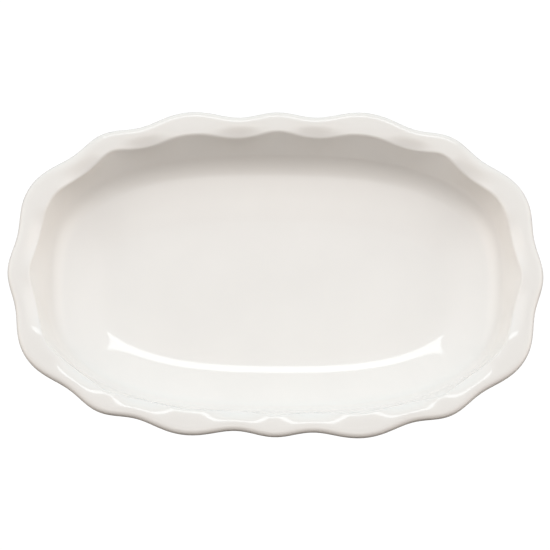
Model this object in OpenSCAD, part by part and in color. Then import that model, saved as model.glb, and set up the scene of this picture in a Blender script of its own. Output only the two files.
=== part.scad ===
// Deep oval serving platter in glazed white stoneware, with a ruffled and rolled rim.
// Millimetres, +Z up. The origin is on the table, under the middle of the foot.
//
// Every surface is a stack of closed rings. A ring in the lip follows the ruffled edge
// at an inset; further down the wall the ruffle fades out and the rings become ovals.
// Inwards from the edge the section runs: rolled crown, shelf, shoulder, steep wall,
// cove, gently sloping apron, flat floor. The shelf is level at the lobes and hollowed
// out in the troughs between them.
// The finished faces are worked out first. The clay lies one coat of glaze inside them,
// and stands bare only where the foot was wiped clean for the kiln.

/* [Rim] */
// Length of the oval that runs through the middle of the ruffle
rim_l = 355.6; // [320:0.2:400]
// Width of that oval, front to back
rim_w = 237.6; // [220:0.2:270]
// Squareness of the oval: 2 is an ellipse, more is boxier
squareness = 2.6; // [2.3:0.05:2.7]
// Extra fullness of the oval at its ends and sides
fullness = 0.7; // [0:0.1:1]
// Unevenness left by the hand finishing of the mould
uneven = 0.5; // [0:0.1:0.8]

/* [Ruffle] */
// Lobes round the rim, narrow and broad ones in turn
lobes = 16; // [12:4:16]
// How far the ruffle swings out and in from the oval
ruffle_reach = 2.2; // [0:0.1:2.6]
// Extra reach of the broad lobes over the narrow ones
broad_reach = 0.9; // [0:0.1:1]
// Sharpness of the narrow lobes
narrow_point = 0.4; // [0:0.1:0.4]
// Degrees that the lobes slide from the ends towards the long sides
lobe_slide = 4.7; // [0:0.1:6]
// Degrees that the lobes beside each end and each side slide back
lobe_spread = 1.2; // [0:0.1:2]

/* [Lip] */
// Overall height, to the crown of the lip
height = 40.4; // [40:0.2:44]
// Inset of the crown from the outermost edge
crown_in = 4.8; // [4:0.1:5.5]
// Depth of the outermost edge below the crown
edge_drop = 2.5; // [2:0.1:3.5]
// Radius of the edge below its outermost line
edge_r = 3.6; // [2.5:0.1:4]
// Width of the shelf between crown and shoulder at a narrow lobe
shelf_w = 8.6; // [7:0.1:9]
// Extra width of the shelf at a broad lobe
shelf_more = 2.6; // [0:0.1:3]
// Fall of the shelf at a lobe
fall_in_lobe = 0.35; // [0.3:0.05:0.6]
// Fall of the shelf in a trough between lobes
fall_in_trough = 2.95; // [2:0.05:3.2]
// Slope of the shelf where it meets the shoulder at a lobe, in degrees
slope_in_lobe = 7; // [3:0.5:8]
// The same slope in a trough
slope_in_trough = 23; // [15:1:26]
// Radius of the shoulder between shelf and wall
shoulder_r = 2.8; // [2:0.1:4]

/* [Wall and floor] */
// Inset of the bottom of the straight wall
wall_in = 23.4; // [23:0.1:24]
// Depth of the bottom of the straight wall below the crown
wall_drop = 16.2; // [15:0.1:16.4]
// Slope of the wall, in degrees
wall_slope = 57; // [54:0.5:58]
// Radius of the cove under the wall
cove_r = 22; // [20:0.5:22.5]
// Slope at the top of the apron between cove and floor, in degrees
apron_slope = 14.6; // [14:0.1:15]
// Width of the apron
apron_w = 21.2; // [20:0.1:21.6]
// Slope at the foot of the apron, in degrees
floor_slope = 10.9; // [10:0.1:11.5]
// Radius where the apron runs out into the flat floor
floor_r = 60; // [54:0.5:61]
// Thickness of the platter through wall and floor
body_t = 5.5; // [5:0.1:5.8]

/* [Foot] */
// Inset of the outer side of the foot ring
foot_in = 54; // [53.5:0.5:55]
// Width of the foot ring
foot_w = 6.4; // [5:0.1:7]
// Bevel that takes the foot in to the face it stands on
foot_bevel = 1.2; // [0.8:0.1:1.3]
// Height of the foot that is wiped free of glaze
bare_h = 1.6; // [1.4:0.1:1.8]

/* [Glaze] */
// Thickness of the coat of glaze
glaze_t = 0.5; // [0.3:0.1:0.6]
// Colour of the glaze
glaze_colour = "#F1EEEA"; // [#F1EEEA, #F7F3E8, #E8EEF0]
// Colour of the bare fired clay
clay_colour = "#DCD2C2"; // [#DCD2C2, #C9B79C, #E9E4DA]

/* [Detail] */
// Points round each ring
ring_points = 96; // [80, 96]

/* [Hidden] */

STEP_DEG = 360 / ring_points;
ANGLES = [for (i = [0 : ring_points - 1]) i * STEP_DEG];
HALF_L = rim_l / 2;
HALF_W = rim_w / 2;

// where the slow unevenness of the outline has its first high spots, in degrees
UNEVEN_3 = 73;
UNEVEN_5 = -14;
// half the span over which the slope of the ruffled edge is taken, in degrees
EDGE_STEP = 0.5;
// the ruffle dies out with this power of the way down the wall
FADE_POWER = 1.5;
// the shelf hollows out towards the troughs with this power of the distance from a lobe
HOLLOW_POWER = 1.6;
// lengths of the two handles of the curve from edge to crown
EDGE_HANDLE = 0.65;
CROWN_HANDLE = 0.6;
// radius under the lip, and the inset between the outer face and the foot
UNDER_R = 6;
NECK = 1.8;

// heights and insets of the inner profile, from the crown down to the floor
function arc_in(inset, r, from, to) = inset + r * (sin(from) - sin(to));
function arc_z(z, r, from, to) = z - r * (cos(to) - cos(from));

WALL_Z = height - wall_drop;
LIP_Z = height - (fall_in_lobe + fall_in_trough) / 2 - shoulder_r / 2;
LIP_IN = wall_in - (LIP_Z - WALL_Z) / tan(wall_slope);
COVE_IN = arc_in(wall_in, cove_r, wall_slope, apron_slope);
COVE_Z = arc_z(WALL_Z, cove_r, wall_slope, apron_slope);
APRON_R = apron_w / (sin(apron_slope) - sin(floor_slope));
APRON_IN = COVE_IN + apron_w;
APRON_Z = arc_z(COVE_Z, APRON_R, apron_slope, floor_slope);
FLOOR_IN = arc_in(APRON_IN, floor_r, floor_slope, 0);
FLOOR_Z = arc_z(APRON_Z, floor_r, floor_slope, 0);
BASE_Z = FLOOR_Z - body_t;

// insets and heights of the outer profile, from the edge down to the base
EDGE_Z = height - edge_drop;
UNDER_Z = EDGE_Z - edge_r;
OUT_WALL_IN = wall_in - body_t * sin(wall_slope);
OUT_WALL_Z = WALL_Z - body_t * cos(wall_slope);
UNDER_IN = OUT_WALL_IN - (UNDER_Z - OUT_WALL_Z) / tan(wall_slope);
UNDER_RUN = UNDER_R * tan(wall_slope / 2);
OUT_LIP_IN = UNDER_IN + UNDER_RUN * cos(wall_slope);
OUT_LIP_Z = UNDER_Z - UNDER_RUN * sin(wall_slope);
BASE_IN = foot_in + foot_w + body_t / 3;
NECK_SLOPE = asin((COVE_IN + APRON_R * sin(apron_slope) - foot_in + NECK) / (APRON_R + body_t));

// ---- the oval and its ruffle -----------------------------------------------------

function signed_pow(v, p) = sign(v) * pow(abs(v), p);
function unit(v) = v / norm(v);
function mix(a, b, t) = a + (b - a) * t;

function oval(th) =
    let (reach = pow(abs(cos(th)) / HALF_L, squareness) + pow(abs(sin(th)) / HALF_W, squareness))
    pow(reach, -1 / squareness) * [cos(th), sin(th)];

// outward normal of the oval
function oval_out(th) =
    let (p = oval(th))
    unit([signed_pow(p.x / HALF_L, squareness - 1) / HALF_L,
          signed_pow(p.y / HALF_W, squareness - 1) / HALF_W]);

function ruffle_angle(th) = th + lobe_slide * sin(2 * th) - lobe_spread * sin(4 * th);

function ruffle(th) =
    let (turn = lobes * ruffle_angle(th))
    ruffle_reach * cos(turn) - broad_reach * cos(turn / 2) + narrow_point * cos(turn * 1.5);

// 0 on top of a lobe, 1 in the bottom of a trough
LOBE_TOP = ruffle_reach - broad_reach + narrow_point;
function hollow(th) = pow(max(0, (LOBE_TOP - ruffle(th)) / (LOBE_TOP + ruffle_reach)), HOLLOW_POWER);

function outline_shift(th) =
    ruffle(th) + fullness * cos(6 * th)
    + uneven * cos(3 * (th - UNEVEN_3)) + uneven / 2 * cos(5 * (th - UNEVEN_5));

function edge(th) = oval(th) + oval_out(th) * outline_shift(th);

// outward normal of the ruffled edge
function edge_out(th) =
    let (d = edge(th + EDGE_STEP) - edge(th - EDGE_STEP))
    unit([d.y, -d.x]);

// a point at an inset from the ruffled edge, and one at an inset from the plain oval
function in_lip(th, inset, z) = let (p = edge(th) - edge_out(th) * inset) [p.x, p.y, z];
function in_oval(th, inset, z) = let (p = oval(th) - oval_out(th) * inset) [p.x, p.y, z];

// ---- the inner face, from the outermost edge to the floor --------------------------

// the outer fall of the lip: a cubic curve that leaves the edge upright and lands level
function lip_fall(th, t) =
    let (s = 1 - t)
    in_lip(th,
        crown_in * (3 * s * t * t * (1 - CROWN_HANDLE) + t * t * t),
        EDGE_Z + edge_drop * (3 * s * s * t * EDGE_HANDLE + 3 * s * t * t + t * t * t));

function shelf_width(th) = shelf_w + shelf_more * pow(sin(lobes * ruffle_angle(th) / 4), 4);
function shelf_fall(th) = mix(fall_in_lobe, fall_in_trough, hollow(th));
function shelf_slope(th) = mix(slope_in_lobe, slope_in_trough, hollow(th));

// the shelf: level at the crown, sloping in towards the shoulder
function shelf(th, t) =
    let (w = shelf_width(th), d = shelf_fall(th), run = w * tan(shelf_slope(th)))
    in_lip(th, crown_in + w * t, height - (3 * d - run) * t * t + (2 * d - run) * t * t * t);

// the shoulder: an arc from the slope of the shelf to the slope of the wall
function shoulder(th, t) =
    let (a = shelf_slope(th), b = mix(a, wall_slope, t))
    in_lip(th, arc_in(crown_in + shelf_width(th), -shoulder_r, a, b),
        height - shelf_fall(th) - shoulder_r * (cos(a) - cos(b)));

// the wall: the ruffle fades out on the way down, in plan and in height
function wall(th, t, start, top, bottom) =
    let (fade = pow(1 - t, FADE_POWER), p = mix(top, bottom, t))
    in_oval(th, p[0], p[1]) + (start - in_oval(th, top[0], top[1])) * fade;

function inner_wall(th, t) = wall(th, t, shoulder(th, 1), [LIP_IN, LIP_Z], [wall_in, WALL_Z]);

// inset and height of the bowl under the wall, down to the flat floor
function cove(a) = [arc_in(wall_in, cove_r, wall_slope, a), arc_z(WALL_Z, cove_r, wall_slope, a)];
function apron(a) = [arc_in(COVE_IN, APRON_R, apron_slope, a), arc_z(COVE_Z, APRON_R, apron_slope, a)];
function run_out(a) = [arc_in(APRON_IN, floor_r, floor_slope, a), arc_z(APRON_Z, floor_r, floor_slope, a)];

// the flat floor: its rim drawn in towards the middle
function floor_at(th, t) = let (p = in_oval(th, FLOOR_IN, 0) * t) [p.x, p.y, FLOOR_Z];

// ---- the outer face, from the outermost edge to the base ---------------------------

function edge_under(th, a) = in_lip(th, edge_r * (1 - cos(a)), EDGE_Z - edge_r * sin(a));

// hollow curve from the flat under the lip to the outer face of the wall
function under_curve(th, slope) =
    in_lip(th, OUT_LIP_IN - UNDER_R * (sin(wall_slope) - sin(slope)),
        OUT_LIP_Z + UNDER_R * (cos(slope) - cos(wall_slope)));

function outer_wall(th, t) =
    wall(th, t, under_curve(th, wall_slope), [OUT_LIP_IN, OUT_LIP_Z], [OUT_WALL_IN, OUT_WALL_Z]);

// the outside of the bowl, one thickness of the body below the inside
function outside(p, a) = [p[0] - body_t * sin(a), p[1] - body_t * cos(a)];

function base_at(th, t) = let (p = in_oval(th, BASE_IN, 0) * t) [p.x, p.y, BASE_Z];

// ---- rings of the finished faces ---------------------------------------------------

function oval_ring(p) = [for (th = ANGLES) in_oval(th, p[0], p[1])];

FLOOR_RINGS = [for (t = [1 / 2, 1]) [for (th = ANGLES) floor_at(th, t)]];
BOWL_RINGS = concat(
    [for (t = [1 / 2, 1]) oval_ring(run_out(floor_slope * t))],
    [for (t = [1 / 2, 1]) oval_ring(apron(mix(floor_slope, apron_slope, t)))],
    [for (t = [1 / 4, 1 / 2, 3 / 4]) oval_ring(cove(mix(apron_slope, wall_slope, t)))]);
WALL_RINGS = [for (t = [1, 2 / 3, 1 / 3]) [for (th = ANGLES) inner_wall(th, t)]];
SHOULDER_RINGS = [for (t = [1, 1 / 2, 0]) [for (th = ANGLES) shoulder(th, t)]];
SHELF_RINGS = [for (t = [2 / 3, 1 / 3]) [for (th = ANGLES) shelf(th, t)]];
FALL_RINGS = [for (t = [1, 0.72, 0.45, 0.2, 0]) [for (th = ANGLES) lip_fall(th, t)]];
INNER_RINGS = concat(FLOOR_RINGS, BOWL_RINGS, WALL_RINGS, SHOULDER_RINGS, SHELF_RINGS, FALL_RINGS);

UNDER_RINGS = concat(
    [for (a = [45, 90]) [for (th = ANGLES) edge_under(th, a)]],
    [for (t = [0, 1 / 2, 1]) [for (th = ANGLES) under_curve(th, wall_slope * t)]]);
OUT_WALL_RINGS = [for (t = [1 / 2, 1]) [for (th = ANGLES) outer_wall(th, t)]];
OUT_BOWL_RINGS = concat(
    [for (t = [1 / 3, 2 / 3, 1]) let (a = mix(wall_slope, apron_slope, t)) oval_ring(outside(cove(a), a))],
    [oval_ring(outside(apron(NECK_SLOPE), NECK_SLOPE))]);
FOOT_SIDE_RING = [for (th = ANGLES) in_oval(th, foot_in, bare_h)];
OUTER_RINGS = concat(UNDER_RINGS, OUT_WALL_RINGS, OUT_BOWL_RINGS, [FOOT_SIDE_RING]);

BARE_RINGS = [for (s = [[glaze_t, foot_bevel], [foot_bevel, 0],
                        [foot_w - foot_bevel, 0], [foot_w - glaze_t, foot_bevel]])
    [for (th = ANGLES) in_oval(th, foot_in + s[0], s[1])]];

BASE_RINGS = concat(
    [[for (th = ANGLES) in_oval(th, foot_in + foot_w, bare_h)]],
    [for (t = [1, 1 / 2]) [for (th = ANGLES) base_at(th, t)]]);

FACES_ALL = concat(INNER_RINGS, OUTER_RINGS, BARE_RINGS, BASE_RINGS);
EDGE_RING = len(INNER_RINGS) - 1;
SIDE_RING = EDGE_RING + len(OUTER_RINGS);
BASE_RING = SIDE_RING + len(BARE_RINGS) + 1;
LAST_RING = len(FACES_ALL) - 1;
FLOOR_MIDDLE = [0, 0, FLOOR_Z];
BASE_MIDDLE = [0, 0, BASE_Z];
COAT = [0, 0, glaze_t];

// ---- the clay under the coat ---------------------------------------------------------

// outward normal of the finished face at point j of ring i
function face_out(i, j) =
    let (n = ring_points,
         across = FACES_ALL[min(i + 1, LAST_RING)][j] - FACES_ALL[max(i - 1, 0)][j],
         along = FACES_ALL[i][(j + 1) % n] - FACES_ALL[i][(j + n - 1) % n])
    unit(cross(across, along));

function under_coat(i) = [for (j = [0 : ring_points - 1]) FACES_ALL[i][j] - face_out(i, j) * glaze_t];

function is_bare(i) = i > SIDE_RING && i < BASE_RING;
CLAY_RINGS = [for (i = [0 : LAST_RING]) is_bare(i) ? FACES_ALL[i] : under_coat(i)];

// ---- solids from rings -----------------------------------------------------------------

function strip(a, b) =
    [for (j = [0 : ring_points - 1])
        let (k = (j + 1) % ring_points)
        each [[a + j, a + k, b + j], [a + k, b + k, b + j]]];

function fan(middle, a, turn) =
    [for (j = [0 : ring_points - 1])
        let (k = (j + 1) % ring_points)
        turn ? [middle, a + k, a + j] : [middle, a + j, a + k]];

// One closed solid from rings that run outwards over its top and back underneath.
// Two middles close it over both ends; with none, the last ring joins the first.
module loft(rings, middles = []) {
    last = len(rings) - 1;
    size = len(rings) * ring_points;
    sides = [for (i = [0 : last - 1]) each strip(i * ring_points, (i + 1) * ring_points)];
    ends = len(middles) == 2
        ? concat(fan(size, 0, true), fan(size + 1, last * ring_points, false))
        : strip(last * ring_points, 0);
    polyhedron(concat([for (r = rings) each r], middles), concat(sides, ends), convexity = 8);
}

// ---- sub-parts ---------------------------------------------------------------------------

// The fired clay: floor, wall, rolled rim and foot ring in one cast piece
module clay_body() {
    color(clay_colour)
    loft(CLAY_RINGS, [FLOOR_MIDDLE - COAT, BASE_MIDDLE + COAT]);
}

// The coat poured inside: floor, cove, wall and lip, out to the outermost edge
module inside_glaze() {
    color(glaze_colour)
    loft(concat([for (i = [0 : EDGE_RING]) FACES_ALL[i]],
                [for (i = [EDGE_RING : -1 : 0]) CLAY_RINGS[i]]),
         [FLOOR_MIDDLE, FLOOR_MIDDLE - COAT]);
}

// The coat over the outside: under the lip, down the wall and onto the foot
module outside_glaze() {
    color(glaze_colour)
    loft(concat([for (i = [SIDE_RING : -1 : EDGE_RING]) CLAY_RINGS[i]],
                [for (i = [EDGE_RING : SIDE_RING]) FACES_ALL[i]]));
}

// The coat on the sunk base, an island inside the bare foot
module base_glaze() {
    color(glaze_colour)
    loft(concat([for (i = [LAST_RING : -1 : BASE_RING]) CLAY_RINGS[i]],
                [for (i = [BASE_RING : LAST_RING]) FACES_ALL[i]]),
         [BASE_MIDDLE + COAT, BASE_MIDDLE]);
}

clay_body();
inside_glaze();
outside_glaze();
base_glaze();
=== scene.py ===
# %% [markdown]
# # A ruffled oval serving platter in white glazed china
# This lesson builds one piece of tableware: a deep oval platter whose rim was pressed
# into sixteen soft lobes. The engineering model is loaded first and never moves. Each
# coat of glaze, and the clay below it, is then modelled again much more finely.

# %% Load the engineering model
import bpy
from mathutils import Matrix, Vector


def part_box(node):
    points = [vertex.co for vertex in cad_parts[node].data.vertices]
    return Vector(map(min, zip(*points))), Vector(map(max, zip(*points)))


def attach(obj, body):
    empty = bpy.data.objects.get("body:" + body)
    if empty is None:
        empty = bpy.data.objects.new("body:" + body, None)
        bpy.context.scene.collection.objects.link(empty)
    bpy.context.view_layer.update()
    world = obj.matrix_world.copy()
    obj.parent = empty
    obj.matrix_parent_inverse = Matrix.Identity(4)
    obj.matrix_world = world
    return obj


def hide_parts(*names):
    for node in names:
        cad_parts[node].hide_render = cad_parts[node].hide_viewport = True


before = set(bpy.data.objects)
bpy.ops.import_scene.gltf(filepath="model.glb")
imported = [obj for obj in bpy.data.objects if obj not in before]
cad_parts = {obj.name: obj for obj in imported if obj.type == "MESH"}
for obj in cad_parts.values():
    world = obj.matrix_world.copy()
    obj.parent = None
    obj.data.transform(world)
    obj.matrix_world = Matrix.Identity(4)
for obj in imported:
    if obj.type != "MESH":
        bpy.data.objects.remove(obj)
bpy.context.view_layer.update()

import math
import bpy
import numpy as np
from mathutils import Vector

MM = 0.001

# %% [markdown]
# ## Where the eye is
# The platter is seen from above its long side, 65.5 degrees over the table, through a
# very long lens, so that its far and near lobes look the same size. A long lens is
# nothing but a narrow view from far away: the distance is chosen, and the focal length
# follows from the width that the frame has to hold.

# %% Camera
VIEW_ELEVATION = math.radians(65.5)
VIEW_DISTANCE = 9.0
FRAME_WIDTH = 370.0 * MM
ROLL = math.radians(0.59)
LOOK_AT = (-0.6 * MM, 0.0, 36.2 * MM)


def add_camera():
    """A long lens over the front of the platter, turned a little about its own axis."""
    data = bpy.data.cameras.new("long_lens")
    data.lens = data.sensor_width * VIEW_DISTANCE / FRAME_WIDTH
    data.dof.use_dof = False
    data.clip_start, data.clip_end = 0.1, 60.0
    camera = bpy.data.objects.new("long_lens", data)
    bpy.context.scene.collection.objects.link(camera)
    camera.location = (
        LOOK_AT[0],
        LOOK_AT[1] - VIEW_DISTANCE * math.cos(VIEW_ELEVATION),
        LOOK_AT[2] + VIEW_DISTANCE * math.sin(VIEW_ELEVATION),
    )
    camera.rotation_euler = (math.pi / 2 - VIEW_ELEVATION, 0, 0)
    camera.rotation_euler.rotate_axis("Z", ROLL)
    bpy.context.scene.camera = camera
    print(f"lens {data.lens:.0f} mm at {VIEW_DISTANCE} m")


add_camera()

# %% [markdown]
# ## A small helper for materials
# Every finish below is a little network of nodes. One function adds a node, sets its
# values and links its inputs, and another turns the sRGB colours that people write as
# hex into the linear light that the renderer works in.

# %% Nodes and colours
def add_node(tree, kind, settings=None, **inputs):
    """Add a node, set its properties, and set or link each input, by name or by number as in i6."""
    node = tree.nodes.new(kind)
    for key, value in (settings or {}).items():
        setattr(node, key, value)
    for key, value in inputs.items():
        by_number = key[0] == "i" and key[1:].isdigit()
        socket = node.inputs[int(key[1:]) if by_number else key.replace("_", " ")]
        if isinstance(value, bpy.types.NodeSocket):
            tree.links.new(value, socket)
        else:
            socket.default_value = value
    return node


def colour(hex_text):
    """sRGB hex to linear red, green, blue and alpha."""
    parts = [int(hex_text[i : i + 2], 16) / 255 for i in (1, 3, 5)]
    linear = [p / 12.92 if p <= 0.04045 else ((p + 0.055) / 1.055) ** 2.4 for p in parts]
    return (*linear, 1.0)


def new_material(name):
    """An empty node material and its output node."""
    material = bpy.data.materials.new(name)
    material.use_nodes = True
    material.node_tree.nodes.clear()
    return material, material.node_tree, material.node_tree.nodes.new("ShaderNodeOutputMaterial")

# %% [markdown]
# ## The outline
# The rim is a boxy oval, a superellipse, with a wave laid round it. Narrow and broad
# lobes take turns, so the wave is a sum of three cosines, and the lobes crowd a little
# towards the corners. All of it is worked out in millimetres, for a whole ring of
# directions at once.

# %% Oval and ruffle
RING = 384
ANGLE = np.radians(np.arange(RING) * 360 / RING)
HALF_L, HALF_W = 355.6 / 2, 237.6 / 2
SQUARENESS = 2.6
LOBES = 16
REACH, BROAD, POINT = 2.2, 0.9, 0.4
LOBE_SLIDE, LOBE_SPREAD = math.radians(4.7), math.radians(1.2)
FULLNESS, UNEVEN = 0.7, 0.5
THREEFOLD_TURN, FIVEFOLD_TURN = math.radians(73), math.radians(-14)
EDGE_STEP = math.radians(0.5)


def unit(arrows):
    """Each arrow at a length of one."""
    return arrows / np.linalg.norm(arrows, axis=-1, keepdims=True)


def oval(angle):
    """The plain boxy oval, in all the given directions."""
    reach = (abs(np.cos(angle)) / HALF_L) ** SQUARENESS + (abs(np.sin(angle)) / HALF_W) ** SQUARENESS
    return np.stack([np.cos(angle), np.sin(angle)], -1) * (reach ** (-1 / SQUARENESS))[:, None]


def oval_out(angle):
    """Outward direction of the oval, square to it."""
    half = np.array([HALF_L, HALF_W])
    place = oval(angle) / half
    return unit(np.sign(place) * abs(place) ** (SQUARENESS - 1) / half)


def ruffle_turn(angle):
    """How far the wave has turned: once for each lobe, a little faster at the corners."""
    return LOBES * (angle + LOBE_SLIDE * np.sin(2 * angle) - LOBE_SPREAD * np.sin(4 * angle))


def ruffle(angle):
    """How far the lobes reach out from the oval."""
    turn = ruffle_turn(angle)
    return REACH * np.cos(turn) - BROAD * np.cos(turn / 2) + POINT * np.cos(1.5 * turn)


def edge(angle):
    """The ruffled outermost line of the rim, fuller at six places and slightly uneven."""
    shift = ruffle(angle) + FULLNESS * np.cos(6 * angle)
    shift += UNEVEN * np.cos(3 * (angle - THREEFOLD_TURN))
    shift += UNEVEN / 2 * np.cos(5 * (angle - FIVEFOLD_TURN))
    return oval(angle) + oval_out(angle) * shift[:, None]


OVAL, OVAL_OUT = oval(ANGLE), oval_out(ANGLE)
EDGE = edge(ANGLE)
ALONG = edge(ANGLE + EDGE_STEP) - edge(ANGLE - EDGE_STEP)
EDGE_OUT = unit(np.stack([ALONG[:, 1], -ALONG[:, 0]], -1))
LOBE_TOP = REACH - BROAD + POINT
HOLLOW_POWER = 1.6
HOLLOW = (np.maximum(0, LOBE_TOP - ruffle(ANGLE)) / (LOBE_TOP + REACH)) ** HOLLOW_POWER
print("outline, mm:", np.round(np.ptp(EDGE, axis=0), 1))

# %% [markdown]
# ## The section
# Cut the platter from edge to middle and the same curve shows all the way round. The
# edge curls over a crown on to a shelf; a tight shoulder turns the shelf into a steep
# wall; the wall runs through a cove on to a gently sloping apron, and that into a flat
# floor. The shelf is level at the lobes and hollowed out between them, where the rim was
# pressed down and in. The ruffle is strong at the edge and fades out down the wall.

# %% Heights and insets of the section
HEIGHT, EDGE_DROP, EDGE_R, CROWN_IN = 40.4, 2.5, 3.6, 4.8
SHELF_NARROW, SHELF_MORE, SHOULDER_R = 8.6, 2.6, 2.8
FALL_LOBE, FALL_TROUGH = 0.35, 2.95
SLOPE_LOBE, SLOPE_TROUGH = math.radians(7), math.radians(23)
WALL_IN, WALL_Z, WALL_SLOPE = 23.4, HEIGHT - 16.2, math.radians(57)
COVE_R, APRON_SLOPE, APRON_W = 22.0, math.radians(14.6), 21.2
FLOOR_SLOPE, FLOOR_R = math.radians(10.9), 60.0


def arc(start, radius, first, slope):
    """Inset and height where an arc has turned from its first slope to another."""
    inset = start[0] + radius * (np.sin(first) - np.sin(slope))
    return inset, start[1] - radius * (np.cos(slope) - np.cos(first))


EDGE_Z = HEIGHT - EDGE_DROP
LIP_Z = HEIGHT - (FALL_LOBE + FALL_TROUGH) / 2 - SHOULDER_R / 2
LIP_IN = WALL_IN - (LIP_Z - WALL_Z) / math.tan(WALL_SLOPE)
APRON_R = APRON_W / (math.sin(APRON_SLOPE) - math.sin(FLOOR_SLOPE))
APRON_TOP = arc((WALL_IN, WALL_Z), COVE_R, WALL_SLOPE, APRON_SLOPE)
APRON_FOOT = arc(APRON_TOP, APRON_R, APRON_SLOPE, FLOOR_SLOPE)
FLOOR_IN, FLOOR_Z = arc(APRON_FOOT, FLOOR_R, FLOOR_SLOPE, 0)
SHELF_W = SHELF_NARROW + SHELF_MORE * np.sin(ruffle_turn(ANGLE) / 4) ** 4
SHELF_FALL = FALL_LOBE + (FALL_TROUGH - FALL_LOBE) * HOLLOW
SHELF_SLOPE = SLOPE_LOBE + (SLOPE_TROUGH - SLOPE_LOBE) * HOLLOW
print("floor stands", round(FLOOR_Z, 2), "mm over the table")

# %% [markdown]
# ## The stretches of the section
# Each stretch gets a small function that gives the whole ring at one place along it. The
# rings of the rim keep their distance from the ruffled edge, and those of the hollow from
# the plain oval. The crown is a soft cubic curve, the shelf a curve that starts level and
# ends on its own slope, and the bends are arcs.

# %% Curves of the section
FADE_POWER = 1.5
EDGE_HANDLE, CROWN_HANDLE = 0.65, 0.6


def ring(flat, z):
    """A closed ring of points from flat places and heights."""
    return np.column_stack([flat, np.broadcast_to(z, RING)])


def in_lip(inset, z):
    """A ring at an inset from the ruffled edge."""
    return ring(EDGE - EDGE_OUT * np.reshape(inset, (-1, 1)), z)


def in_oval(inset, z):
    """A ring at an inset from the plain oval."""
    return ring(OVAL - OVAL_OUT * inset, z)


def lip_fall(t):
    """From the edge, t = 0, over to the crown, t = 1."""
    left = 1 - t
    run = CROWN_IN * (3 * left * t * t * (1 - CROWN_HANDLE) + t**3)
    return in_lip(run, EDGE_Z + EDGE_DROP * (3 * left * left * t * EDGE_HANDLE + 3 * left * t * t + t**3))


def shelf(t):
    """From the crown in to the shoulder: level first, then sloping in."""
    fall, run = SHELF_FALL, SHELF_W * np.tan(SHELF_SLOPE)
    return in_lip(CROWN_IN + SHELF_W * t, HEIGHT - (3 * fall - run) * t**2 + (2 * fall - run) * t**3)


def shoulder(t):
    """From the slope of the shelf to the slope of the wall."""
    slope = SHELF_SLOPE + (WALL_SLOPE - SHELF_SLOPE) * t
    return in_lip(*arc((CROWN_IN + SHELF_W, HEIGHT - SHELF_FALL), -SHOULDER_R, SHELF_SLOPE, slope))


def wall(t, start, top, bottom):
    """Down a wall whose ruffle fades out, in plan and in height."""
    place = [a + (b - a) * t for a, b in zip(top, bottom)]
    return in_oval(*place) + (start - in_oval(*top)) * (1 - t) ** FADE_POWER


def cove(slope):
    """Inset and height in the cove, where it has this slope."""
    return arc((WALL_IN, WALL_Z), COVE_R, WALL_SLOPE, slope)


def apron(slope):
    """Inset and height on the apron, where it has this slope."""
    return arc(APRON_TOP, APRON_R, APRON_SLOPE, slope)


def run_out(slope):
    """Inset and height where the apron runs out into the floor."""
    return arc(APRON_FOOT, FLOOR_R, FLOOR_SLOPE, slope)


print("lip, mm wide:", np.round([CROWN_IN + SHELF_W.min(), CROWN_IN + SHELF_W.max()], 1))

# %% [markdown]
# ## The rings of the inside
# The finished inner face is listed from the middle of the floor out to the edge. Tight
# bends get the most rings, because each ring turns the face only a little, and towards
# the edge the rings crowd together, where the crown bends most.

# %% Rings of the inside
CROWDING = 1.6


def spread(low, high, count):
    """Evenly spaced steps that leave out the first place, which the last stretch made."""
    return np.linspace(low, high, count + 1)[1:]


inner = [ring(in_oval(FLOOR_IN, 0)[:, :2] * t, FLOOR_Z) for t in spread(0, 1, 8)]
inner += [in_oval(*run_out(a)) for a in spread(0, FLOOR_SLOPE, 9)]
inner += [in_oval(*apron(a)) for a in spread(FLOOR_SLOPE, APRON_SLOPE, 8)]
inner += [in_oval(*cove(a)) for a in spread(APRON_SLOPE, WALL_SLOPE, 18)]
inner += [wall(1 - t, shoulder(1), (LIP_IN, LIP_Z), (WALL_IN, WALL_Z)) for t in spread(0, 1, 12)]
inner += [shoulder(1 - t) for t in spread(0, 1, 9)]
inner += [shelf(1 - t) for t in spread(0, 1, 12)]
inner += [lip_fall((1 - t) ** CROWDING) for t in spread(0, 1, 22)]
print("inner face", len(inner), "rings")

# %% [markdown]
# ## The outside
# Under the edge the rim turns in with a small radius, runs level for a few millimetres
# and curves into the outer face, which follows the inside at the thickness of the body.
# A low foot ring carries the platter. Its underside is wiped clean before the firing,
# so that the glaze doesn't stick it to the kiln shelf.

# %% Section of the outside
BODY_T, GLAZE_T = 5.5, 0.5
FOOT_IN, FOOT_W, FOOT_BEVEL, BARE_H = 54.0, 6.4, 1.2, 1.6
UNDER_R, NECK = 6.0, 1.8
UNDER_Z = EDGE_Z - EDGE_R
OUT_WALL = (WALL_IN - BODY_T * math.sin(WALL_SLOPE), WALL_Z - BODY_T * math.cos(WALL_SLOPE))
UNDER_RUN = UNDER_R * math.tan(WALL_SLOPE / 2)
OUT_LIP = (
    OUT_WALL[0] - (UNDER_Z - OUT_WALL[1]) / math.tan(WALL_SLOPE) + UNDER_RUN * math.cos(WALL_SLOPE),
    UNDER_Z - UNDER_RUN * math.sin(WALL_SLOPE),
)
APRON_CENTRE = APRON_TOP[0] + APRON_R * math.sin(APRON_SLOPE)
NECK_SLOPE = math.asin((APRON_CENTRE - FOOT_IN + NECK) / (APRON_R + BODY_T))
FOOT_END = FOOT_IN + FOOT_W
BASE_IN, BASE_Z = FOOT_END + BODY_T / 3, FLOOR_Z - BODY_T


def edge_under(turn):
    """Under the edge, turned in from the outermost line towards level."""
    return in_lip(EDGE_R * (1 - math.cos(turn)), EDGE_Z - EDGE_R * math.sin(turn))


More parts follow.
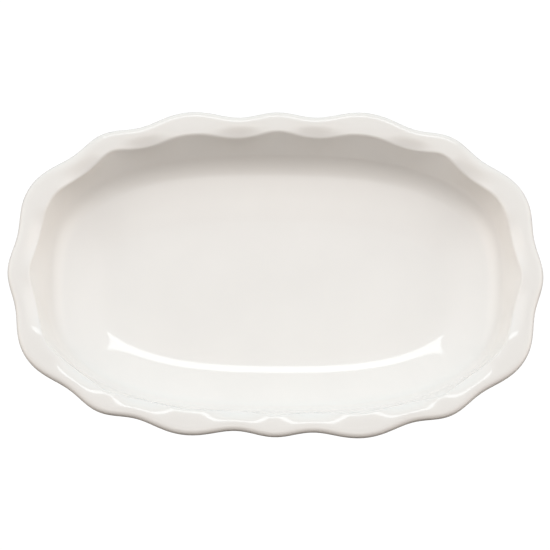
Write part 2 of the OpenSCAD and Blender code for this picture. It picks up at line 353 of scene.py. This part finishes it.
def under_curve(slope):
    """From level under the rim, down to the slope of the wall."""
    return in_lip(*arc(OUT_LIP, -UNDER_R, WALL_SLOPE, slope))


def outside(place, slope):
    """The outer face under a place on the inner one."""
    return in_oval(place[0] - BODY_T * np.sin(slope), place[1] - BODY_T * np.cos(slope))


def foot_flank(t):
    """The inner flank of the foot ring, from the bare face up to the sunk base."""
    return in_oval(FOOT_END + (BASE_IN - FOOT_END) * t, BARE_H + (BASE_Z - BARE_H) * t)


print("foot ring", FOOT_W, "mm wide, base", round(BASE_Z, 2), "mm over the table")

# %% [markdown]
# ## The rings of the outside
# The outer coat goes from the edge down to the foot. Then comes the bare face of the
# foot, with a bevel on both sides, and last the base, from the foot in to the middle.

# %% Rings of the outside
outer = [edge_under(math.pi / 2 * t**CROWDING) for t in np.linspace(0, 1, 15)]
outer += [under_curve(WALL_SLOPE * t) for t in np.linspace(0, 1, 9)]
outer += [wall(t, under_curve(WALL_SLOPE), OUT_LIP, OUT_WALL) for t in spread(0, 1, 10)]
outer += [outside(cove(a), a) for a in spread(WALL_SLOPE, APRON_SLOPE, 12)]
outer += [outside(apron(a), a) for a in spread(APRON_SLOPE, NECK_SLOPE, 6)]
outer += [outer[-1] + (in_oval(FOOT_IN, BARE_H) - outer[-1]) * t for t in spread(0, 1, 5)]
bare = [
    in_oval(FOOT_IN + GLAZE_T, FOOT_BEVEL),
    in_oval(FOOT_IN + FOOT_BEVEL, 0),
    in_oval(FOOT_END - FOOT_BEVEL, 0),
    in_oval(FOOT_END - GLAZE_T, FOOT_BEVEL),
]
base = [foot_flank(t) for t in np.linspace(0, 1, 5)]
base += [ring(in_oval(BASE_IN, 0)[:, :2] * (1 - t), BASE_Z) for t in spread(0, 1, 8)[:-1]]
print("outer face", len(outer), "rings, bare foot", len(bare), "rings, base", len(base), "rings")

# %% [markdown]
# ## From a flat disc to a pressed shape
# A potter could throw the platter as a plain round bowl and press the ruffle into it
# afterwards, and the mesh is made in the same order. A circle is added, its rim is
# extruded and scaled once for each ring of the section, and then every ring is laid on
# its own curve. A sheet of glaze is open at first, and Solidify gives it its thickness.

# %% Throwing the bowl
def free_hands():
    """Deselect everything, because an operator acts on all that is selected."""
    bpy.ops.object.select_all(action="DESELECT")


def throw(name, rings, first_closed, last_closed=False):
    """Extrude a circle ring by ring into a round bowl, then press it onto the rings."""
    free_hands()
    radius = [float(np.mean(np.hypot(r[:, 0], r[:, 1]))) * MM for r in rings]
    level = [float(np.mean(r[:, 2])) * MM for r in rings]
    fill = "TRIFAN" if first_closed else "NOTHING"
    bpy.ops.mesh.primitive_circle_add(vertices=RING, radius=radius[0], location=(0, 0, 0), fill_type=fill)
    piece = bpy.context.object
    piece.name = piece.data.name = name
    bpy.ops.object.mode_set(mode="EDIT")
    bpy.ops.mesh.select_mode(type="VERT")
    if first_closed:
        bpy.ops.mesh.select_all(action="DESELECT")
        bpy.ops.mesh.select_non_manifold()
    for i in range(1, len(rings)):
        bpy.ops.mesh.extrude_edges_move(TRANSFORM_OT_translate={"value": (0, 0, level[i] - level[i - 1])})
        factor = radius[i] / radius[i - 1]
        bpy.ops.transform.resize(value=(factor, factor, 1), center_override=(0, 0, level[i]))
    if last_closed:
        bpy.ops.mesh.extrude_edges_move()
        bpy.ops.mesh.merge(type="CENTER")
    bpy.ops.object.mode_set(mode="OBJECT")
    press(piece, rings, first_closed, last_closed)
    return piece

# %% [markdown]
# ## Pressing the ruffle
# The thrown bowl has the right faces but round rings. Pressing moves each point to the
# place on its own curve that lies in the same direction from the middle. A point on the
# axis, where a disc is closed, only gets its height.

# %% Pressing
ON_AXIS = 0.01 * MM
STEP = 2 * math.pi / RING


def press(piece, rings, first_closed, last_closed):
    """Lay each ring of the thrown bowl on its own curve, point by point."""
    place = np.zeros(len(piece.data.vertices) * 3, np.float32)
    piece.data.vertices.foreach_get("co", place)
    place = place.reshape(-1, 3)
    hub = np.hypot(place[:, 0], place[:, 1]) < ON_AXIS
    hubs, on_ring = np.flatnonzero(hub), np.flatnonzero(~hub)
    turn = np.round(np.arctan2(place[on_ring, 1], place[on_ring, 0]) / STEP).astype(int) % RING
    which = np.arange(len(on_ring)) // RING
    place[on_ring] = np.stack(rings)[which, turn] * MM
    if first_closed:
        place[hubs[0]] = (0, 0, float(np.mean(rings[0][:, 2])) * MM)
    if last_closed:
        place[hubs[-1]] = (0, 0, float(np.mean(rings[-1][:, 2])) * MM)
    piece.data.vertices.foreach_set("co", place.ravel())
    piece.data.update()
    print(piece.name, len(rings), "rings,", len(piece.data.polygons), "faces")

# %% [markdown]
# ## Finishing a coat
# A coat of glaze is half a millimetre of glass melted onto the clay. Its faces have to
# look away from the clay before Solidify grows it inwards, or it would end up on the
# wrong side. Where it stops on the foot it is given a soft lip, as melted glass has.

# %% Coats and their soft lips
SOFT_LIP, LIP_SEGMENTS = 0.22, 3
SMOOTH_UP_TO = math.radians(40)


def take_up(piece):
    """Select one piece alone and make it the active one."""
    free_hands()
    piece.select_set(True)
    bpy.context.view_layer.objects.active = piece


def face_outwards(piece, test):
    """Turn all faces over if the sheet looks the wrong way by the given test."""
    facing = sum(face.normal.dot(test(face.center)) * face.area for face in piece.data.polygons)
    if facing < 0:
        piece.data.flip_normals()


def grow_coat(piece, soft_ring=None):
    """Give a sheet the thickness of the glaze, and round its lip from the given vertex on."""
    if soft_ring is not None:
        weight = piece.data.attributes.new("bevel_weight_edge", "FLOAT", "EDGE")
        lip_points = range(soft_ring, soft_ring + RING)
        for line in piece.data.edges:
            if all(point in lip_points for point in line.vertices):
                weight.data[line.index].value = 1.0
    take_up(piece)
    shell = piece.modifiers.new("coat", "SOLIDIFY")
    shell.thickness, shell.offset, shell.use_even_offset = GLAZE_T * MM, -1, True
    bpy.ops.object.modifier_apply(modifier=shell.name)
    if soft_ring is not None:
        lip = piece.modifiers.new("soft_lip", "BEVEL")
        lip.limit_method, lip.width, lip.segments = "WEIGHT", SOFT_LIP * MM, LIP_SEGMENTS
        bpy.ops.object.modifier_apply(modifier=lip.name)

# %% [markdown]
# ## Tying a piece to the model
# A finished piece is smoothed, but keeps a crisp line wherever two faces meet at more
# than forty degrees. Then it is told which body it rides on and which engineering piece
# it takes the place of, and its size is printed beside the size of that piece.

# %% Finishing a piece
def finish_mesh(piece, node):
    """Smooth the faces, and tie the piece to the engineering model."""
    take_up(piece)
    bpy.ops.object.shade_smooth_by_angle(angle=SMOOTH_UP_TO)
    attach(piece, "root")
    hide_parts(node)
    low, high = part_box(node)
    points = np.array([vertex.co for vertex in piece.data.vertices])
    print(piece.name, np.round(np.ptp(points, axis=0) / MM, 1), "mm")
    print("engineering node", node, [round((b - a) / MM, 1) for a, b in zip(low, high)], "mm")

# %% [markdown]
# ## The coat inside
# Most of what is seen is this one sheet: floor, cove, wall and lip, out to the outermost
# line of the rim. It starts as a disc at the middle of the floor.

# %% Inside glaze
UP, DOWN = Vector((0, 0, 1)), Vector((0, 0, -1))
glaze_inside = throw("glaze_inside", inner, True)
face_outwards(glaze_inside, lambda place: UP)
grow_coat(glaze_inside)
finish_mesh(glaze_inside, "inside_glaze")

# %% [markdown]
# ## The coat outside
# The second sheet takes over at the outermost line, turns under the rim and runs down
# the wall to the foot, where it was wiped off a little over the kiln shelf.

# %% Outside glaze
glaze_outside = throw("glaze_outside", outer, False)
face_outwards(glaze_outside, lambda place: Vector((place.x, place.y, 0)))
grow_coat(glaze_outside, (len(outer) - 1) * RING)
finish_mesh(glaze_outside, "outside_glaze")

# %% [markdown]
# ## The coat on the base
# Inside the foot ring the underside is sunk by a few millimetres and keeps its glaze,
# as an island that never touches the shelf.

# %% Base glaze
glaze_base = throw("glaze_base", base[::-1], True)
face_outwards(glaze_base, lambda place: DOWN)
grow_coat(glaze_base, 1 + (len(base) - 1) * RING)
finish_mesh(glaze_base, "base_glaze")

# %% [markdown]
# ## The clay
# The body is one casting. It lies exactly one coat inside the glazed faces, and comes
# to the surface only where the foot stands on the table. Its rings are the finished
# rings moved in along their own normals.

# %% Clay body
def under_coat(rings):
    """Rings moved in by the thickness of the glaze, square to the finished face."""
    faces = np.stack(rings)
    across = np.gradient(faces, axis=0)
    along = np.roll(faces, -1, axis=1) - np.roll(faces, 1, axis=1)
    return list(faces - unit(np.cross(across, along)) * GLAZE_T)


clay_rings = under_coat(inner + outer[1:]) + bare + under_coat(base)
clay_body = throw("clay_body_fired", clay_rings, True, True)
face_outwards(clay_body, lambda place: place)
finish_mesh(clay_body, "clay_body")

# %% [markdown]
# ## The glaze
# The real surface is a warm white glaze, sprayed over white clay and fired to a smooth
# glass. To the eye it is a bright, nearly colourless body under a thin, sharp gloss.
# It is never quite even: it runs thin over the crown of the rim, where the clay warms
# it, and the top of the rim is also coloured a little darker there as painted shade; it
# gathers a little in the cove, and sets with a very faint ripple.

# %% Glazed china
GLAZE_IOR = 1.52
GLAZE_ROUGHNESS = 0.045
RIPPLE, RIPPLE_DEPTH = 1 / (26 * MM), 0.03 * MM
SPRAY_GRAIN, SPRAY_DEPTH = 1 / (1.6 * MM), 0.0006 * MM
MOTTLE = 1 / (45 * MM)
# Heights where the crown's thinner glaze and its painted shade begin and are full, and how strong they get.
THIN_AND_SHADE_FROM, THIN_AND_SHADE_FULL, MOST_THIN_AND_SHADE = 37.6 * MM, 40.6 * MM, 0.4
POOL_FROM, POOL_FULL, MOST_POOLED = 24.0 * MM, 12.0 * MM, 0.6
NOISE_LOW, NOISE_HIGH = 0.3, 0.7


def glaze_tone(tree, place, body, thin_and_shaded, pooled):
    """The tone of the coat: thinner glaze and painted shade over the crown, deeper in the cove, mottled a
    little.
    """
    height = add_node(tree, "ShaderNodeSeparateXYZ", Vector=place).outputs["Z"]
    mottle = add_node(tree, "ShaderNodeTexNoise", Vector=place, Scale=MOTTLE, Detail=3.0, Roughness=0.5)
    # Over the crown: a thinner, warmer glaze, together with painted shade that darkens the top of the rim.
    crown_thin_and_shade = add_node(tree, "ShaderNodeMapRange", {"interpolation_type": "SMOOTHSTEP"}, Value=height,
                          From_Min=THIN_AND_SHADE_FROM, From_Max=THIN_AND_SHADE_FULL, To_Min=0.0, To_Max=MOST_THIN_AND_SHADE)
    in_cove = add_node(tree, "ShaderNodeMapRange", {"interpolation_type": "SMOOTHSTEP"}, Value=height,
                       From_Min=POOL_FROM, From_Max=POOL_FULL, To_Min=0.0, To_Max=MOST_POOLED)
    tone = add_node(tree, "ShaderNodeMix", {"data_type": "RGBA"}, Factor=in_cove.outputs["Result"],
                    i6=colour(body), i7=colour(pooled))
    tone = add_node(tree, "ShaderNodeMix", {"data_type": "RGBA"}, Factor=crown_thin_and_shade.outputs["Result"],
                    i6=tone.outputs[2], i7=colour(thin_and_shaded))
    shade = add_node(tree, "ShaderNodeMapRange", Value=mottle.outputs["Fac"],
                     From_Min=NOISE_LOW, From_Max=NOISE_HIGH, To_Min=0.985, To_Max=1.01)
    return add_node(tree, "ShaderNodeVectorMath", {"operation": "SCALE"},
                    Vector=tone.outputs[2], Scale=shade.outputs["Result"])


def glaze_surface(tree, place):
    """The bumps of the coat: a wide ripple as it set, and the grain of the spray on it."""
    ripple = add_node(tree, "ShaderNodeTexNoise", Vector=place, Scale=RIPPLE, Detail=1.0, Roughness=0.4)
    rippled = add_node(tree, "ShaderNodeBump", Strength=1.0, Distance=RIPPLE_DEPTH,
                       Height=ripple.outputs["Fac"])
    grain = add_node(tree, "ShaderNodeTexNoise", Vector=place, Scale=SPRAY_GRAIN, Detail=2.0, Roughness=0.5)
    return add_node(tree, "ShaderNodeBump", Strength=1.0, Distance=SPRAY_DEPTH,
                    Height=grain.outputs["Fac"], Normal=rippled.outputs["Normal"])


def glazed_china(name, body, thin_and_shaded, pooled):
    """White glaze over white clay: a smooth sprayed and fired coat."""
    material, tree, out = new_material(name)
    place = add_node(tree, "ShaderNodeTexCoord").outputs["Object"]
    tone = glaze_tone(tree, place, body, thin_and_shaded, pooled)
    gloss = add_node(tree, "ShaderNodeTexNoise", Vector=place, Scale=MOTTLE * 2, Detail=2.0, Roughness=0.6)
    gloss = add_node(tree, "ShaderNodeMapRange", Value=gloss.outputs["Fac"],
                     From_Min=NOISE_LOW, From_Max=NOISE_HIGH,
                     To_Min=GLAZE_ROUGHNESS * 0.8, To_Max=GLAZE_ROUGHNESS * 1.3)
    sprayed = glaze_surface(tree, place)
    coat = add_node(tree, "ShaderNodeBsdfPrincipled", Base_Color=tone.outputs["Vector"],
                    Roughness=gloss.outputs["Result"], IOR=GLAZE_IOR, Normal=sprayed.outputs["Normal"])
    tree.links.new(coat.outputs["BSDF"], out.inputs["Surface"])
    return material


# The third colour is the crown's thinner glaze, darkened there as painted shade on the top of the rim.
glaze = glazed_china("white_glaze_sprayed_and_fired", "#EDE8E2", "#E9E2D9", "#EDE8E1")
for coat in (glaze_inside, glaze_outside, glaze_base):
    coat.data.materials.clear()
    coat.data.materials.append(glaze)
print("glazed:", glaze.name)

# %% [markdown]
# ## The bare clay
# White china clay fired without a coat is matt and a little creamy, like the unglazed
# ring under any cup. It shows its grain, a slow change of tone from place to place and a
# few dark specks. The real grain is finer than a tenth of a millimetre, so it is drawn
# several times as coarse, or it would not show at all.

# %% Biscuit clay
CLAY_IOR = 1.5
CLAY_GRAIN, GRAIN_DEPTH = 1 / (0.7 * MM), 0.03 * MM
CLAY_BLUSH = 1 / (18 * MM)
SPECK_PITCH = 1 / (3.0 * MM)
SPECK_CORE, SPECK_RIM = 0.05, 0.09


def biscuit_clay(name):
    """Bare fired clay: slip cast, sponged and fired once."""
    material, tree, out = new_material(name)
    place = add_node(tree, "ShaderNodeTexCoord").outputs["Object"]
    grain = add_node(tree, "ShaderNodeTexNoise", Vector=place, Scale=CLAY_GRAIN, Detail=4.0, Roughness=0.65)
    blush = add_node(tree, "ShaderNodeTexNoise", Vector=place, Scale=CLAY_BLUSH, Detail=2.0, Roughness=0.5)
    tone = add_node(tree, "ShaderNodeMix", {"data_type": "RGBA"}, Factor=blush.outputs["Fac"],
                    i6=colour("#D6CBBA"), i7=colour("#E4DBCD"))
    speck = add_node(tree, "ShaderNodeTexVoronoi", Vector=place, Scale=SPECK_PITCH)
    speck = add_node(tree, "ShaderNodeMapRange", Value=speck.outputs["Distance"],
                     From_Min=SPECK_CORE, From_Max=SPECK_RIM, To_Min=0.55, To_Max=0.0)
    tone = add_node(tree, "ShaderNodeMix", {"data_type": "RGBA"}, Factor=speck.outputs["Result"],
                    i6=tone.outputs[2], i7=colour("#8F7C66"))
    dry = add_node(tree, "ShaderNodeMapRange", Value=grain.outputs["Fac"], To_Min=0.72, To_Max=0.92)
    rough = add_node(tree, "ShaderNodeBump", Strength=1.0, Distance=GRAIN_DEPTH, Height=grain.outputs["Fac"])
    clay = add_node(tree, "ShaderNodeBsdfPrincipled", Base_Color=tone.outputs[2],
                    Roughness=dry.outputs["Result"], IOR=CLAY_IOR, Normal=rough.outputs["Normal"])
    tree.links.new(clay.outputs["BSDF"], out.inputs["Surface"])
    return material


clay_body.data.materials.clear()
clay_body.data.materials.append(biscuit_clay("china_clay_cast_and_biscuit_fired"))
print("clay:", clay_body.data.materials[0].name)

# %% [markdown]
# ## The table
# The platter stands on a wide pale table, which is so evenly lit that it looks white
# right to its edge. In the glaze it is only a soft grey.

# %% Table
TABLE_SIZE = 60.0
TABLE_GLOW = 1.05


def pale_table():
    """A wide table that looks white, and lights the platter from below as soft grey."""
    free_hands()
    bpy.ops.mesh.primitive_plane_add(size=TABLE_SIZE, location=(0, 0, 0))
    table = bpy.context.object
    table.name = "table"
    material, tree, out = new_material("pale_table")
    seen = add_node(tree, "ShaderNodeLightPath").outputs["Is Camera Ray"]
    grey = add_node(tree, "ShaderNodeBsdfDiffuse", Color=colour("#8C8681"))
    white = add_node(tree, "ShaderNodeEmission", Color=colour("#FFFFFF"), Strength=TABLE_GLOW)
    both = add_node(tree, "ShaderNodeMixShader", i0=seen, i1=grey.outputs[0], i2=white.outputs[0])
    tree.links.new(both.outputs[0], out.inputs["Surface"])
    table.data.materials.append(material)


pale_table()

# %% [markdown]
# ## The light
# The platter is lit as a studio lights glossy ware. Great white cloths stand at both
# sides and low behind it, so the room glows softly from there and stays dark in front,
# which draws the thin dark line under the near rim. One more cloth, small and bright,
# hangs straight over it. The glow of a cloth is a power of the cosine of the angle from
# its middle. A soft box hangs high behind the platter, with clean straight edges, and
# draws the long bright streak where the apron meets the floor.

# %% Light
def direction(azimuth, elevation):
    """A unit vector from the platter, with azimuth 0 behind it and 90 to its right."""
    a, e = math.radians(azimuth), math.radians(elevation)
    return Vector((math.sin(a) * math.cos(e), math.cos(a) * math.cos(e), math.sin(e)))


def room(cloths):
    """A dark room with white cloths, each given by its direction, tightness and glow."""
    world = bpy.data.worlds.new("studio_room")
    world.use_nodes = True
    tree = world.node_tree
    way = add_node(tree, "ShaderNodeTexCoord").outputs["Generated"]
    sum_of_glows = (0.0, 0.0, 0.0)
    for azimuth, elevation, tightness, glow in cloths:
        facing = add_node(tree, "ShaderNodeVectorMath", {"operation": "DOT_PRODUCT"},
                          i0=way, i1=direction(azimuth, elevation))
        facing = add_node(tree, "ShaderNodeMath", {"operation": "MAXIMUM"},
                          i0=facing.outputs["Value"], i1=0.0)
        facing = add_node(tree, "ShaderNodeMath", {"operation": "POWER"}, i0=facing.outputs[0], i1=tightness)
        sum_of_glows = add_node(tree, "ShaderNodeVectorMath", {"operation": "MULTIPLY_ADD"},
                                i0=facing.outputs[0], i1=glow, i2=sum_of_glows).outputs[0]
    tree.links.new(sum_of_glows, tree.nodes["Background"].inputs["Color"])
    bpy.context.scene.world = world


WARM_SIDE, COOL_SIDE = (2.35, 2.03, 1.66), (0.62, 0.80, 1.06)
BEHIND, OVERHEAD = (0.22, 0.53, 0.62), (1.50, 1.55, 1.55)
room([
    (-78, 37, 7, WARM_SIDE), (78, 37, 7, WARM_SIDE),
    (-60, 45, 5, COOL_SIDE), (60, 45, 5, COOL_SIDE),
    (0, 10, 5, BEHIND), (0, 90, 50, OVERHEAD),
])
print("white cloths hung round the platter")

# %% [markdown]
# ## The soft box behind
# An area light is given its power in watts, spread over its face. Here its brightness
# is chosen as it would look in a mirror, and the power follows from the size.

# %% Soft box
BOX_ELEVATION, BOX_DISTANCE = 52.4, 2.0
BOX_WIDTH, BOX_HEIGHT = 0.66, 0.34
BOX_GLOW, BOX_TINT = 3.4, (0.92, 1.0, 1.06)


def soft_box(name):
    """A soft box that hangs high behind the platter, and faces it."""
    data = bpy.data.lights.new(name, "AREA")
    data.shape, data.size, data.size_y = "RECTANGLE", BOX_WIDTH, BOX_HEIGHT
    data.energy, data.color = BOX_GLOW * math.pi * BOX_WIDTH * BOX_HEIGHT, BOX_TINT
    lamp = bpy.data.objects.new(name, data)
    bpy.context.scene.collection.objects.link(lamp)
    lamp.location = direction(0, BOX_ELEVATION) * BOX_DISTANCE
    lamp.rotation_euler = (math.radians(BOX_ELEVATION - 90), 0, 0)
    lamp.visible_camera = False
    print(name, round(data.energy, 2), "watts")


soft_box("streak_box_behind")
bpy.context.scene.view_settings.view_transform = "Standard"
